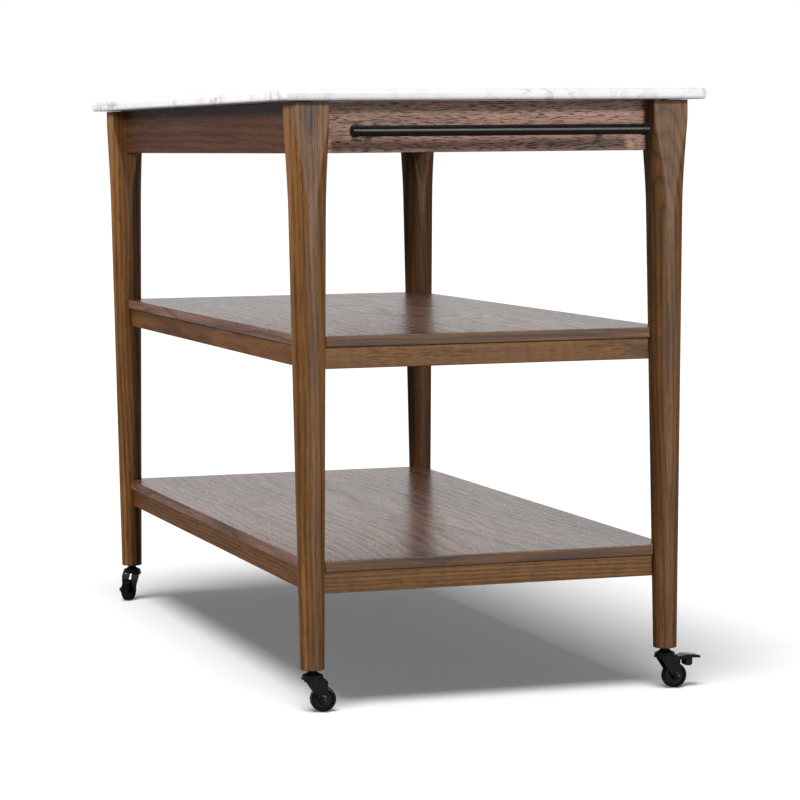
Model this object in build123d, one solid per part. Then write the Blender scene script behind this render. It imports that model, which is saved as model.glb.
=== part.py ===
from build123d import *
import os
from math import acos, atan, cos, degrees, sin, sqrt

# Kitchen island: stone top on a wooden frame, two open shelves, a towel bar and four stem casters.
# All sizes are in millimetres. +Z is up, +X runs along the long side towards the towel bar, and the
# front is -Y. The origin is on the floor under the middle of the top.

# Stone top
total_height = 914.0
top_length = 1295.0
top_width = 664.0
top_thickness = 16.0
top_corner_radius = 12.0
top_edge_radius = 5.0
pad_radius = 6.0
pad_thickness = 1.0

# Legs
leg_inset = 51.0  # leg axis in from the edge of the top
leg_square = 55.0
leg_corner_ease = 1.5
foot_diameter = 36.0
foot_ease = 1.5
knee_diameter = 55.3
knee_drop = 157.0  # top of the leg down to the knee, where the flare starts
flare_radius = 940.0

# Aprons, with two tenons at each end
apron_height = 75.0
apron_thickness = 20.0
long_apron_proud = 5.0  # outer face beyond the plane of the leg axes
end_apron_proud = 0.0
apron_ease = 1.0
apron_tenon_thickness = 10.0
apron_tenon_height = 20.0
apron_tenon_length = 15.0
apron_tenon_margin = 4.0  # tenon in from the apron's top and bottom edges
tenon_gap = 0.1
mortise_end_gap = 0.6

# Cross rails under the stone
cross_rail_thickness = 22.0
cross_rail_height = 50.0
cross_rail_offset = 210.0
stub_tenon_length = 7.0
stub_tenon_margin = 5.0

# Corner blocks and hanger bolts
block_thickness = 28.0  # across the diagonal
block_height = 40.0
block_clearance = 2.0  # from the leg's inner corner
bolt_diameter = 8.0
bolt_leg_start = 8.0  # from the leg axis, along the diagonal
bolt_tail = 3.0
washer_diameter = 20.0
washer_thickness = 1.6
nut_across = 13.0
nut_height = 6.5
screw_diameter = 4.0
screw_length = 30.0
screw_head_diameter = 8.0
screw_head_height = 2.5
block_screw_seat = 14.0  # from the apron's inner face to the screw's head
block_screw_pitch = 20.0
fastener_gap = 0.05
loose_gap = 0.1
lap = 1.0  # how far the joined volumes of one piece run into each other

# Shelves: a board on four rails and two battens
middle_shelf_top = 555.0
lower_shelf_top = 223.0
board_thickness = 16.5
board_proud = 4.0  # edge beyond the plane of the leg axes
board_ease = 1.5
notch_gap = 1.0  # board round the leg
rail_height = 32.0
rail_thickness = 18.0
rail_setback = 1.5  # outer face inside the plane of the leg axes
rail_ease = 1.5
rail_tenon_thickness = 8.0
rail_tenon_inset = 1.5
rail_tenon_margin = 5.0
rail_tenon_stop = 11.5  # end of the tenon from the leg axis
shoulder_gap = 0.4
batten_width = 40.0
batten_height = 20.0
batten_offset = 210.0
batten_screw_pitch = 200.0

# Towel bar
bar_diameter = 16.0
bar_wall = 1.2
bar_end_gap = 20.5  # end of each cap to the leg beside it
bar_standoff = 61.0  # bar axis from the end apron's face
bar_drop = 43.5  # bar axis below the top of the frame
cap_diameter = 17.6
cap_length = 13.5
cap_neck_diameter = 14.6
cap_neck_length = 1.0
cap_ring_length = 4.0
cap_groove_depth = 0.5
cap_groove_width = 0.8
cap_ease = 0.4
cap_dome = 4.5
round_share = 0.55  # control points of a Bezier quarter that stays close to an ellipse
cap_spigot_length = 9.0
post_inset = 52.0  # post axis from the end of the cap
post_diameter = 10.0
rose_diameter = 15.0
rose_thickness = 3.0
rose_ease = 1.0
post_spigot_diameter = 6.0
post_spigot_proud = 1.0  # spigot's end inside the tube's bore
post_screw_diameter = 5.0
post_screw_head_diameter = 10.0
post_screw_head_height = 3.0
post_screw_bite = 18.0
post_hole_gap = 0.25

# Casters
caster_height = 63.5  # floor to foot of the leg
wheel_diameter = 38.0
wheel_width = 15.0
wheel_shoulder = 3.0
wheel_dish_depth = 2.2
wheel_dish_slope = 1.5
wheel_rim = 4.0
hub_diameter = 11.0
hub_proud = 0.6
trail = 15.5
axle_diameter = 6.0
running_gap = 0.05
stem_diameter = 8.0
stem_length = 26.0
insert_diameter = 12.0
insert_length = 30.0
collar_across = 13.0
collar_height = 2.8
cup_diameter = 31.0
cup_neck_diameter = 14.0
cup_height = 8.2
cup_rim_height = 3.0
cup_crown_inset = 1.0
cup_crown_rise = 0.8
cup_neck_flare = 2.0
race_gap = 0.5
ball_diameter = 3.0
ball_circle_diameter = 21.0
ball_count = 8
kingpin_diameter = 7.0
kingpin_head_diameter = 12.0
kingpin_head_height = 2.0
kingpin_end_gap = 0.1
fork_plate_thickness = 2.5
fork_disc_diameter = 33.0
fork_skirt = 5.3
fork_wall = 2.0
fork_side_gap = 0.9  # wheel tread to fork arm
fork_boss_radius = 6.0
fork_front = 10.1  # front corner of the arm ahead of the swivel axis
fork_slope_start = 15.0  # top of the fork behind the swivel axis, where it starts to slope down
fork_slope_drop = 6.0
axle_nut_across = 10.0
axle_nut_height = 4.5
axle_cap_radius = 4.0
axle_head_diameter = 9.5
axle_head_height = 2.6

# Brake pedals, on the back pair
pivot_reach = 17.0
pivot_height = 44.0
trunnion_diameter = 4.0
pivot_boss_radius = 3.4
pedal_side_gap = 0.5
pedal_width = 20.0
pedal_clear_of_fork = 2.0
pedal_reach = 57.0
pedal_tip_drop = 3.0
pedal_top_fall = 0.8
pedal_nose = 1.4
pedal_end = 2.4
pedal_under_plate = 0.9
lever_root_reach = 2.0
lever_root_half = 2.6
lever_rib = 2.4
pedal_crown = 51.0
pedal_thickness = 3.6
shoe_reach = 32.5
shoe_length = 11.5
shoe_bottom = 33.0
shoe_width = 14.0
shoe_ease = 2.5
pedal_ease = 0.6

# Directions in which the wheels trail at rest, in degrees from +X
trail_angle = {"front_left": -39.0, "front_right": 86.0, "back_right": 95.0, "back_left": 150.0}
braked = ("back_right", "back_left")

# Places worked out from the sizes above
corner_sign = {"front_left": (-1, -1), "front_right": (1, -1), "back_right": (1, 1), "back_left": (-1, 1)}
leg_x = top_length / 2 - leg_inset
leg_y = top_width / 2 - leg_inset
stone_bottom = total_height - top_thickness
frame_top = stone_bottom - pad_thickness
foot_z = caster_height
knee_z = frame_top - knee_drop
half_square = leg_square / 2
apron_bottom = frame_top - apron_height
bar_height = frame_top - bar_drop
bar_half = leg_y - half_square - bar_end_gap
post_y = bar_half - post_inset
taper = (knee_diameter - foot_diameter) / 2 / (knee_z - foot_z)
bolt_z = frame_top - apron_height / 2
apron_tenon_z = (apron_bottom + apron_tenon_margin, frame_top - apron_tenon_margin - apron_tenon_height)


def span_box(x0, x1, y0, y1, z0, z1):
    middle = Pos((x0 + x1) / 2, (y0 + y1) / 2, (z0 + z1) / 2)
    return middle * Box(abs(x1 - x0), abs(y1 - y0), abs(z1 - z0))


def corner_box(corner, u, v, z):
    # A box beside a leg: u and v run from the leg axis towards the middle of the island.
    sx, sy = corner_sign[corner]
    x = [sx * (leg_x - value) for value in u]
    y = [sy * (leg_y - value) for value in v]
    return span_box(x[0], x[1], y[0], y[1], z[0], z[1])


def grown(span, gap):
    return (span[0] - gap, span[1] + gap)


def rod(diameter, length, hole=0.0):
    outer = Cylinder(diameter / 2, length, align=(Align.CENTER, Align.CENTER, Align.MIN))
    if hole:
        outer -= Cylinder(hole / 2, length, align=(Align.CENTER, Align.CENTER, Align.MIN))
    return outer


def hexagon(across, height):
    return extrude(RegularPolygon(across / 2, 6, major_radius=False), height)


def turned(points):
    # A solid of revolution about Z from (radius, height) points.
    return revolve(Plane.XZ * make_face(Polyline(*points, close=True)), Axis.Z)


def leg_radius(z):
    return foot_diameter / 2 + taper * (z - foot_z)


def group(solids):
    return Compound(children=[solid for shape in solids for solid in shape.solids()])


# Stone top and its pads
def make_top():
    slab = extrude(RectangleRounded(top_length, top_width, top_corner_radius), top_thickness)
    rims = slab.edges().group_by(Axis.Z)
    slab = fillet(rims[0] + rims[-1], top_edge_radius)
    return Pos(0, 0, stone_bottom) * slab


def make_pads():
    long_apron_y = leg_y + long_apron_proud - apron_thickness / 2
    places = [(sx * leg_x, sy * leg_y) for sx, sy in corner_sign.values()]
    places += [(sx * cross_rail_offset, sy * long_apron_y) for sx, sy in corner_sign.values()]
    places += [(sx * cross_rail_offset, sy * leg_y / 3) for sx, sy in corner_sign.values()]
    return group([Pos(x, y, frame_top) * rod(2 * pad_radius, pad_thickness) for x, y in places])


# Tenons and mortises, as spans of u, v and z beside a leg
def long_apron_tenons(gap, end_gap):
    v0 = -long_apron_proud + (apron_thickness - apron_tenon_thickness) / 2
    v = grown((v0, v0 + apron_tenon_thickness), gap)
    u = (half_square - apron_tenon_length - end_gap, half_square + gap)
    return [(u, v, grown((z0, z0 + apron_tenon_height), gap)) for z0 in apron_tenon_z]


def end_apron_tenons(gap, end_gap):
    u0 = -end_apron_proud + (apron_thickness - apron_tenon_thickness) / 2
    u = grown((u0, u0 + apron_tenon_thickness), gap)
    v = (half_square - apron_tenon_length - end_gap, half_square + gap)
    return [(u, v, grown((z0, z0 + apron_tenon_height), gap)) for z0 in apron_tenon_z]


def rail_shoulder(shelf_top):
    return leg_radius(shelf_top - board_thickness) + shoulder_gap


def rail_tenon(shelf_top, gap, end_gap):
    tenon_face = rail_setback + rail_tenon_inset
    across = grown((tenon_face, tenon_face + rail_tenon_thickness), gap)
    along = (rail_tenon_stop - end_gap, rail_shoulder(shelf_top) + gap)
    rail_top = shelf_top - board_thickness
    z = grown((rail_top - rail_height + rail_tenon_margin, rail_top - rail_tenon_margin), gap)
    return along, across, z


# Legs
def leg_blank():
    angle = atan(taper)
    corner_radius = half_square * sqrt(2) + lap
    centre_r = knee_diameter / 2 + flare_radius * cos(angle)
    sweep = acos((centre_r - corner_radius) / flare_radius) - angle
    foot = (foot_diameter / 2, foot_z)
    knee = (knee_diameter / 2, knee_z)
    flare = JernArc(knee, (sin(angle), cos(angle)), flare_radius, -degrees(sweep))
    outline = [Line((0, foot_z), foot), Line(foot, knee), flare]
    outline += [Polyline(flare @ 1, (corner_radius, frame_top), (0, frame_top), (0, foot_z))]
    body = revolve(Plane.XZ * make_face(Curve() + outline), Axis.Z)
    body = fillet(body.edges().group_by(Axis.Z)[0], foot_ease)
    square = extrude(RectangleRounded(leg_square, leg_square, leg_corner_ease), frame_top)
    return body & square


def diagonal(corner, distance, height):
    # A frame at a leg with its Z along the diagonal towards the middle of the island.
    sx, sy = corner_sign[corner]
    along = Vector(-sx, -sy, 0).normalized()
    start = Vector(sx * leg_x, sy * leg_y, height) + along * distance
    return Plane(start, x_dir=(0, 0, 1), z_dir=along)


def make_leg(corner, blank):
    sx, sy = corner_sign[corner]
    leg = Pos(sx * leg_x, sy * leg_y, 0) * blank
    for tenons in (long_apron_tenons, end_apron_tenons):
        for u, v, z in tenons(tenon_gap, mortise_end_gap):
            leg -= corner_box(corner, u, v, z)
    for shelf_top in (middle_shelf_top, lower_shelf_top):
        along, across, z = rail_tenon(shelf_top, tenon_gap, mortise_end_gap)
        leg -= corner_box(corner, along, across, z)
        leg -= corner_box(corner, across, along, z)
    bolt_hole = rod(bolt_diameter + 2 * fastener_gap, 2 * leg_square)
    leg -= diagonal(corner, bolt_leg_start - fastener_gap, bolt_z) * bolt_hole
    insert_hole = rod(insert_diameter + 2 * fastener_gap, insert_length + 2 * fastener_gap)
    leg -= Pos(sx * leg_x, sy * leg_y, foot_z) * insert_hole
    return leg


# Aprons
def corners_on(axis, side):
    return [corner for corner, sign in corner_sign.items() if sign[axis] == side]


def make_long_apron(side):
    outer = side * (leg_y + long_apron_proud)
    inner = side * (leg_y + long_apron_proud - apron_thickness)
    reach = leg_x - half_square
    apron = span_box(-reach, reach, outer, inner, apron_bottom, frame_top)
    low_edges = apron.edges().filter_by(Axis.X).group_by(Axis.Z)[0]
    apron = fillet([e for e in low_edges if abs(e.center().Y - outer) < 0.01], apron_ease)
    for corner in corners_on(1, side):
        for u, v, z in long_apron_tenons(0, 0):
            apron += corner_box(corner, (u[0], half_square + lap), v, z)
        for seat in long_apron_seats(corner):
            apron -= seat * screw_hole()
    for sx in (-1, 1):
        apron -= cross_rail_stub(sx, tenon_gap)
    return apron


def make_end_apron(side):
    outer = side * (leg_x + end_apron_proud)
    inner = side * (leg_x + end_apron_proud - apron_thickness)
    reach = leg_y - half_square
    apron = span_box(outer, inner, -reach, reach, apron_bottom, frame_top)
    low_edges = apron.edges().filter_by(Axis.Y).group_by(Axis.Z)[0]
    apron = fillet([e for e in low_edges if abs(e.center().X - outer) < 0.01], apron_ease)
    for corner in corners_on(0, side):
        for u, v, z in end_apron_tenons(0, 0):
            apron += corner_box(corner, u, (v[0], half_square + lap), z)
        for seat in end_apron_seats(corner):
            apron -= seat * screw_hole()
    if side > 0:
        for sy in (-1, 1):
            hole = rod(post_screw_diameter + 2 * post_hole_gap, apron_thickness)
            apron -= Pos(inner, sy * post_y, bar_height) * Rot(0, 90, 0) * hole
    return apron


# Cross rails
def cross_rail_stub(sx, gap):
    face = leg_y + long_apron_proud - apron_thickness
    reach = face + stub_tenon_length + gap
    half = cross_rail_thickness / 2 - stub_tenon_margin + gap
    z0 = frame_top - cross_rail_height + stub_tenon_margin - gap
    z1 = frame_top - stub_tenon_margin + gap
    middle = sx * cross_rail_offset
    return span_box(middle - half, middle + half, -reach, reach, z0, z1)


def make_cross_rail(sx):
    face = leg_y + long_apron_proud - apron_thickness
    middle = sx * cross_rail_offset
    half = cross_rail_thickness / 2
    rail = span_box(middle - half, middle + half, -face, face, frame_top - cross_rail_height, frame_top)
    return rail + cross_rail_stub(sx, 0)


# Corner blocks, hanger bolts and block screws
block_near = half_square * sqrt(2) + block_clearance
block_far = block_near + block_thickness
long_inner = apron_thickness - long_apron_proud
end_inner = apron_thickness - end_apron_proud
block_middle = (block_near + block_far) / 2 * sqrt(2)
block_screw_z = (bolt_z - block_screw_pitch / 2, bolt_z + block_screw_pitch / 2)


def long_apron_seats(corner):
    # Frames at the heads of the screws into the long apron, each with its Z along the screw.
    sx, sy = corner_sign[corner]
    x = sx * (leg_x - block_middle + long_inner)
    y = sy * (leg_y - long_inner - block_screw_seat)
    return [Plane((x, y, z), x_dir=(1, 0, 0), z_dir=(0, sy, 0)) for z in block_screw_z]


def end_apron_seats(corner):
    sx, sy = corner_sign[corner]
    x = sx * (leg_x - end_inner - block_screw_seat)
    y = sy * (leg_y - block_middle + end_inner)
    return [Plane((x, y, z), x_dir=(0, 1, 0), z_dir=(sx, 0, 0)) for z in block_screw_z]


def screw_hole():
    return rod(screw_diameter + 2 * fastener_gap, screw_length + fastener_gap)


def make_corner_block(corner):
    sx, sy = corner_sign[corner]
    near = block_near * sqrt(2)
    far = block_far * sqrt(2)
    outline = [(near - long_inner, long_inner), (far - long_inner, long_inner)]
    outline += [(end_inner, far - end_inner), (end_inner, near - end_inner)]
    points = [(sx * (leg_x - u), sy * (leg_y - v)) for u, v in outline]
    face = make_face(Polyline(*points, close=True))
    block = Pos(0, 0, bolt_z - block_height / 2) * extrude(face, block_height, dir=(0, 0, 1))
    block -= diagonal(corner, 0, bolt_z) * rod(bolt_diameter + 2 * loose_gap, 2 * block_far)
    for seat in long_apron_seats(corner) + end_apron_seats(corner):
        block -= seat * screw_hole()
        block -= seat * Rot(180, 0, 0) * rod(screw_head_diameter + 2 * loose_gap, 2 * block_thickness)
    return block


def make_hanger_bolts():
    bolt = rod(bolt_diameter, block_far + washer_thickness + nut_height + bolt_tail - bolt_leg_start)
    return group([diagonal(corner, bolt_leg_start, bolt_z) * bolt for corner in corner_sign])


def make_hanger_washers():
    washer = rod(washer_diameter, washer_thickness, bolt_diameter + 2 * loose_gap)
    return group([diagonal(corner, block_far, bolt_z) * washer for corner in corner_sign])


def make_hanger_nuts():
    nut = hexagon(nut_across, nut_height) - rod(bolt_diameter + 2 * fastener_gap, nut_height)
    return group([diagonal(corner, block_far + washer_thickness, bolt_z) * nut for corner in corner_sign])


# Shelves
def make_board(shelf_top):
    half_x = leg_x + board_proud
    half_y = leg_y + board_proud
    board = span_box(-half_x, half_x, -half_y, half_y, shelf_top - board_thickness, shelf_top)
    notch = 2 * (leg_radius(shelf_top) + notch_gap)
    for sx, sy in corner_sign.values():
        board -= Pos(sx * leg_x, sy * leg_y, shelf_top - board_thickness) * rod(notch, board_thickness)
    rims = [e for e in board.edges().filter_by(GeomType.LINE) if abs(e.tangent_at(0).Z) < 0.5]
    board = fillet(rims, board_ease)
    for seat in shelf_screw_seats(shelf_top):
        board -= seat * screw_hole()
    return board


def batten_reach():
    return leg_y - rail_setback - rail_thickness


def batten_stub(sx, shelf_top, gap):
    half = batten_width / 2 - stub_tenon_margin + gap
    reach = batten_reach() + stub_tenon_length + gap
    z1 = shelf_top - board_thickness - stub_tenon_margin + gap
    z0 = shelf_top - board_thickness - batten_height + stub_tenon_margin - gap
    middle = sx * batten_offset
    return span_box(middle - half, middle + half, -reach, reach, z0, z1)


def make_batten(sx, shelf_top):
    half = batten_width / 2
    reach = batten_reach()
    middle = sx * batten_offset
    top = shelf_top - board_thickness
    batten = span_box(middle - half, middle + half, -reach, reach, top - batten_height, top)
    batten += batten_stub(sx, shelf_top, 0)
    for seat in shelf_screw_seats(shelf_top):
        batten -= seat * screw_hole()
    return batten


def shelf_screw_seats(shelf_top):
    z = shelf_top - board_thickness - batten_height
    return [Plane((sx * batten_offset, k * batten_screw_pitch, z)) for sx in (-1, 1) for k in (-1, 0, 1)]


def make_wood_screws():
    screw = rod(screw_diameter, screw_length) + Rot(180, 0, 0) * rod(screw_head_diameter, screw_head_height)
    seats = shelf_screw_seats(middle_shelf_top) + shelf_screw_seats(lower_shelf_top)
    for corner in corner_sign:
        seats += long_apron_seats(corner) + end_apron_seats(corner)
    return group([seat * screw for seat in seats])


def make_long_rail(side, shelf_top):
    top = shelf_top - board_thickness
    outer = side * (leg_y - rail_setback)
    inner = side * (leg_y - rail_setback - rail_thickness)
    reach = leg_x - rail_shoulder(shelf_top)
    rail = span_box(-reach, reach, outer, inner, top - rail_height, top)
    rail = fillet([e for e in rail.edges().filter_by(Axis.X) if abs(e.center().Y - outer) < 0.01], rail_ease)
    along, across, z = rail_tenon(shelf_top, 0, 0)
    for corner in corners_on(1, side):
        rail += corner_box(corner, (along[0], along[1] + lap), across, z)
    for sx in (-1, 1):
        rail -= batten_stub(sx, shelf_top, tenon_gap)
    return rail


def make_end_rail(side, shelf_top):
    top = shelf_top - board_thickness
    outer = side * (leg_x - rail_setback)
    inner = side * (leg_x - rail_setback - rail_thickness)
    reach = leg_y - rail_shoulder(shelf_top)
    rail = span_box(outer, inner, -reach, reach, top - rail_height, top)
    rail = fillet([e for e in rail.edges().filter_by(Axis.Y) if abs(e.center().X - outer) < 0.01], rail_ease)
    along, across, z = rail_tenon(shelf_top, 0, 0)
    for corner in corners_on(0, side):
        rail += corner_box(corner, across, (along[0], along[1] + lap), z)
    return rail


# Towel bar: the tube runs along Y in front of the right apron
bar_x = leg_x + end_apron_proud + bar_standoff
tube_half = bar_half - cap_length
bore_diameter = bar_diameter - 2 * bar_wall


def along_y(y, side=1):
    # A frame on the bar's axis with its Z along the bar.
    return Plane((bar_x, y, bar_height), x_dir=(0, 0, 1), z_dir=(0, side, 0))


def post_frame(sy):
    # A frame on the apron's face with its Z out towards the bar.
    seat = (leg_x + end_apron_proud, sy * post_y, bar_height)
    return Plane(seat, x_dir=(0, 1, 0), z_dir=(1, 0, 0))


def make_tube():
    tube = along_y(-tube_half) * rod(bar_diameter, 2 * tube_half, bore_diameter)
    for sy in (-1, 1):
        tube -= post_frame(sy) * rod(post_spigot_diameter + 2 * fastener_gap, bar_standoff)
    return tube


def make_cap(side):
    r = cap_diameter / 2
    neck = cap_neck_diameter / 2
    spigot = bore_diameter / 2 - fastener_gap
    groove_z = cap_neck_length + cap_ring_length
    points = [(0, -cap_spigot_length), (spigot, -cap_spigot_length), (spigot, 0), (neck, 0)]
    points += [(neck, cap_neck_length), (r - cap_ease, cap_neck_length), (r, cap_neck_length + cap_ease)]
    points += [(r, groove_z), (r - cap_groove_depth, groove_z + cap_groove_width / 2)]
    points += [(r, groove_z + cap_groove_width), (r, cap_length - cap_dome)]
    sides = Polyline(*points)
    shoulder = (r, cap_length - (1 - round_share) * cap_dome)
    dome = Bezier(points[-1], shoulder, (round_share * r, cap_length), (0, cap_length))
    axis = Line((0, cap_length), points[0])
    return along_y(side * tube_half, side) * revolve(Plane.XZ * make_face(sides + dome + axis), Axis.Z)


def make_post(sy):
    rose = rod(rose_diameter, rose_thickness)
    rose = fillet(rose.edges().group_by(Axis.Z)[-1], rose_ease)
    stem = rod(post_diameter, bar_standoff)
    spigot = rod(post_spigot_diameter, bar_standoff - bore_diameter / 2 + post_spigot_proud)
    post = post_frame(sy) * (rose + stem)
    post -= along_y(-tube_half) * rod(bar_diameter, 2 * tube_half)
    post += post_frame(sy) * spigot
    post -= post_frame(sy) * rod(post_screw_diameter + 2 * fastener_gap, post_screw_bite + fastener_gap)
    return post


def make_post_screws():
    shank = rod(post_screw_diameter, apron_thickness + post_screw_bite)
    head = Rot(180, 0, 0) * rod(post_screw_head_diameter, post_screw_head_height)
    return group([post_frame(sy) * Pos(0, 0, -apron_thickness) * (shank + head) for sy in (-1, 1)])


# Caster pieces, built about the swivel axis with the wheel trailing along +X
wheel_radius = wheel_diameter / 2
arm_inner = wheel_width / 2 + fork_side_gap
arm_outer = arm_inner + fork_wall
cup_top = caster_height - collar_height
cup_bottom = cup_top - cup_height
plate_top = cup_bottom - race_gap
plate_bottom = plate_top - fork_plate_thickness
fork_rear = trail + fork_boss_radius
ball_z = (cup_bottom + plate_top) / 2


def ball_groove(gap):
    ring = Torus(ball_circle_diameter / 2, ball_diameter / 2 + gap)
    return Pos(0, 0, ball_z) * ring


def make_stem():
    cup_r = cup_diameter / 2
    cup = [(0, cup_bottom), (cup_r, cup_bottom), (cup_r, cup_bottom + cup_rim_height)]
    cup += [(cup_r - cup_crown_inset, cup_bottom + cup_rim_height + cup_crown_rise)]
    cup += [(cup_neck_diameter / 2 + cup_neck_flare, cup_top - cup_neck_flare)]
    cup += [(cup_neck_diameter / 2, cup_top), (0, cup_top)]
    unit = turned(cup) - ball_groove(running_gap)
    unit += Pos(0, 0, cup_top) * hexagon(collar_across, collar_height)
    unit += Pos(0, 0, cup_top) * rod(stem_diameter, collar_height + stem_length)
    pin_bottom = plate_bottom - kingpin_end_gap
    unit += Pos(0, 0, pin_bottom) * rod(kingpin_diameter, cup_bottom - pin_bottom + lap)
    unit += Pos(0, 0, pin_bottom - kingpin_head_height) * rod(kingpin_head_diameter, kingpin_head_height)
    return unit


def make_balls():
    step = 360 / ball_count
    places = [Rot(0, 0, k * step) * Pos(ball_circle_diameter / 2, 0, ball_z) for k in range(ball_count)]
    return [place * Sphere(ball_diameter / 2) for place in places]


def make_insert():
    return Pos(0, 0, foot_z) * rod(insert_diameter, insert_length, stem_diameter + 2 * fastener_gap)


def side_slab(outline, width):
    # A slab across the caster from a side outline in x and z.
    return extrude(Plane((0, width / 2, 0), x_dir=(1, 0, 0), z_dir=(0, -1, 0)) * outline, width)


def across_rod(x, z, diameter, reach, length):
    # A rod across the caster, from y = reach towards -Y.
    return Pos(x, reach, z) * Rot(90, 0, 0) * rod(diameter, length)


def make_fork(with_brake):
    boss = Pos(trail, wheel_radius) * Circle(fork_boss_radius)
    skirt_bottom = plate_top - fork_skirt
    rear_top = plate_top - fork_slope_drop
    rear_bottom = rear_top - fork_skirt / 2
    top = [(-fork_front, skirt_bottom), (-fork_front, plate_top), (fork_slope_start, plate_top)]
    top += [(fork_rear, rear_top), (fork_rear, rear_bottom)]
    side = make_hull(boss.edges() + Polyline(*top, close=True).edges())
    body = side_slab(side, 2 * arm_outer)
    disc = Pos(0, 0, skirt_bottom) * rod(fork_disc_diameter, fork_skirt)
    hollow = Pos(0, 0, skirt_bottom) * rod(fork_disc_diameter - 2 * fork_wall, plate_bottom - skirt_bottom)
    slot = span_box(-2 * fork_front, fork_rear + lap, -arm_inner, arm_inner, 0, plate_bottom)
    fork = body + disc - slot - hollow
    pin_hole = rod(kingpin_diameter + 2 * running_gap, fork_plate_thickness + 2 * lap)
    fork -= Pos(0, 0, plate_bottom - lap) * pin_hole
    fork -= ball_groove(running_gap)
    fork -= across_rod(trail, wheel_radius, axle_diameter + 2 * fastener_gap, arm_outer, 2 * arm_outer)
    if with_brake:
        hole = trunnion_diameter + 2 * running_gap
        fork -= across_rod(pivot_reach, pivot_height, hole, arm_outer, 2 * arm_outer)
    return fork


def make_wheel():
    half = wheel_width / 2
    rim = wheel_radius - wheel_rim
    floor = half - wheel_dish_depth
    hub = hub_diameter / 2
    bore = axle_diameter / 2 + running_gap
    hub_end = half + hub_proud
    side = [(bore, hub_end), (hub, hub_end), (hub, floor), (rim - wheel_dish_slope, floor), (rim, half)]
    side += [(wheel_radius, half)]
    wheel = turned(side + [(r, -z) for r, z in reversed(side)])
    tread_edges = [e for e in wheel.edges().filter_by(GeomType.CIRCLE) if abs(e.radius - wheel_radius) < 0.01]
    wheel = fillet(tread_edges, wheel_shoulder)
    return Pos(trail, 0, wheel_radius) * Rot(90, 0, 0) * wheel


def make_axle():
    # The domed nut is on the right-hand side, seen along the trail.
    at = Pos(trail, 0, wheel_radius) * Rot(90, 0, 0)
    shank = Pos(0, 0, -arm_outer) * rod(axle_diameter, 2 * arm_outer + axle_nut_height - lap)
    head = Pos(0, 0, -arm_outer - axle_head_height) * rod(axle_head_diameter, axle_head_height)
    head = fillet(head.edges().group_by(Axis.Z)[0], axle_head_height / 2)
    nut = Pos(0, 0, arm_outer) * hexagon(axle_nut_across, axle_nut_height)
    cap = Pos(0, 0, arm_outer + axle_nut_height) * Sphere(axle_cap_radius)
    cap &= Pos(0, 0, arm_outer + lap) * rod(3 * axle_cap_radius, 3 * axle_cap_radius)
    return at * (shank + head + nut + cap)


def make_pedal():
    narrow = arm_inner - pedal_side_gap
    root = pivot_reach - lever_root_reach
    wide_from = fork_rear + pedal_clear_of_fork
    crown_bottom = pedal_crown - pedal_thickness
    shoe_rear = shoe_reach + shoe_length
    tip_z = pedal_crown - pedal_tip_drop
    lever = [(root, pivot_height + lever_root_half), (fork_rear, plate_bottom - pedal_under_plate)]
    lever += [(shoe_reach, pedal_crown), (shoe_rear, pedal_crown - pedal_top_fall)]
    lever += [(pedal_reach - pedal_nose, tip_z), (pedal_reach, tip_z - pedal_nose)]
    lever += [(pedal_reach, tip_z - pedal_nose - pedal_end)]
    lever += [(shoe_rear, crown_bottom - lever_rib), (shoe_reach, crown_bottom - lever_rib)]
    lever += [(fork_rear, pivot_height - lever_root_half / 2), (root, pivot_height - lever_root_half)]
    profile = make_face(Polyline(*lever, close=True))
    lever_full = side_slab(profile, pedal_width)
    keep_wide = span_box(wide_from, pedal_reach + lap, -pedal_width, pedal_width, 0, caster_height)
    keep_narrow = span_box(0, wide_from + lap, -narrow, narrow, 0, caster_height)
    lever_solid = (lever_full & keep_wide) + (lever_full & keep_narrow)
    lever_solid = chamfer(lever_solid.edges().filter_by(GeomType.LINE).group_by(Axis.X)[-1], pedal_ease)
    shoe_face = [(shoe_reach, shoe_bottom + shoe_ease), (shoe_reach + shoe_ease, shoe_bottom)]
    shoe_face += [(shoe_rear - shoe_ease, shoe_bottom), (shoe_rear, shoe_bottom + shoe_ease)]
    shoe_face += [(shoe_rear, crown_bottom), (shoe_reach, crown_bottom)]
    shoe = side_slab(make_face(Polyline(*shoe_face, close=True)), shoe_width)
    boss = across_rod(pivot_reach, pivot_height, 2 * pivot_boss_radius, narrow, 2 * narrow)
    trunnion = across_rod(pivot_reach, pivot_height, trunnion_diameter, arm_outer, 2 * arm_outer)
    return lever_solid + shoe + boss + trunnion


# Assembly
parts = {"stone_top": make_top(), "stone_pads": make_pads()}

blank = leg_blank()
for corner in corner_sign:
    parts[corner + "_leg"] = make_leg(corner, blank)
parts["front_apron"] = make_long_apron(-1)
parts["back_apron"] = make_long_apron(1)
parts["left_apron"] = make_end_apron(-1)
parts["right_apron"] = make_end_apron(1)
parts["left_cross_rail"] = make_cross_rail(-1)
parts["right_cross_rail"] = make_cross_rail(1)
for corner in corner_sign:
    parts[corner + "_corner_block"] = make_corner_block(corner)
parts["hanger_bolts"] = make_hanger_bolts()
parts["hanger_washers"] = make_hanger_washers()
parts["hanger_nuts"] = make_hanger_nuts()

for level, shelf_top in (("middle", middle_shelf_top), ("lower", lower_shelf_top)):
    parts[level + "_shelf_board"] = make_board(shelf_top)
    parts[level + "_front_rail"] = make_long_rail(-1, shelf_top)
    parts[level + "_back_rail"] = make_long_rail(1, shelf_top)
    parts[level + "_left_rail"] = make_end_rail(-1, shelf_top)
    parts[level + "_right_rail"] = make_end_rail(1, shelf_top)
    parts[level + "_left_batten"] = make_batten(-1, shelf_top)
    parts[level + "_right_batten"] = make_batten(1, shelf_top)
parts["wood_screws"] = make_wood_screws()

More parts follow.
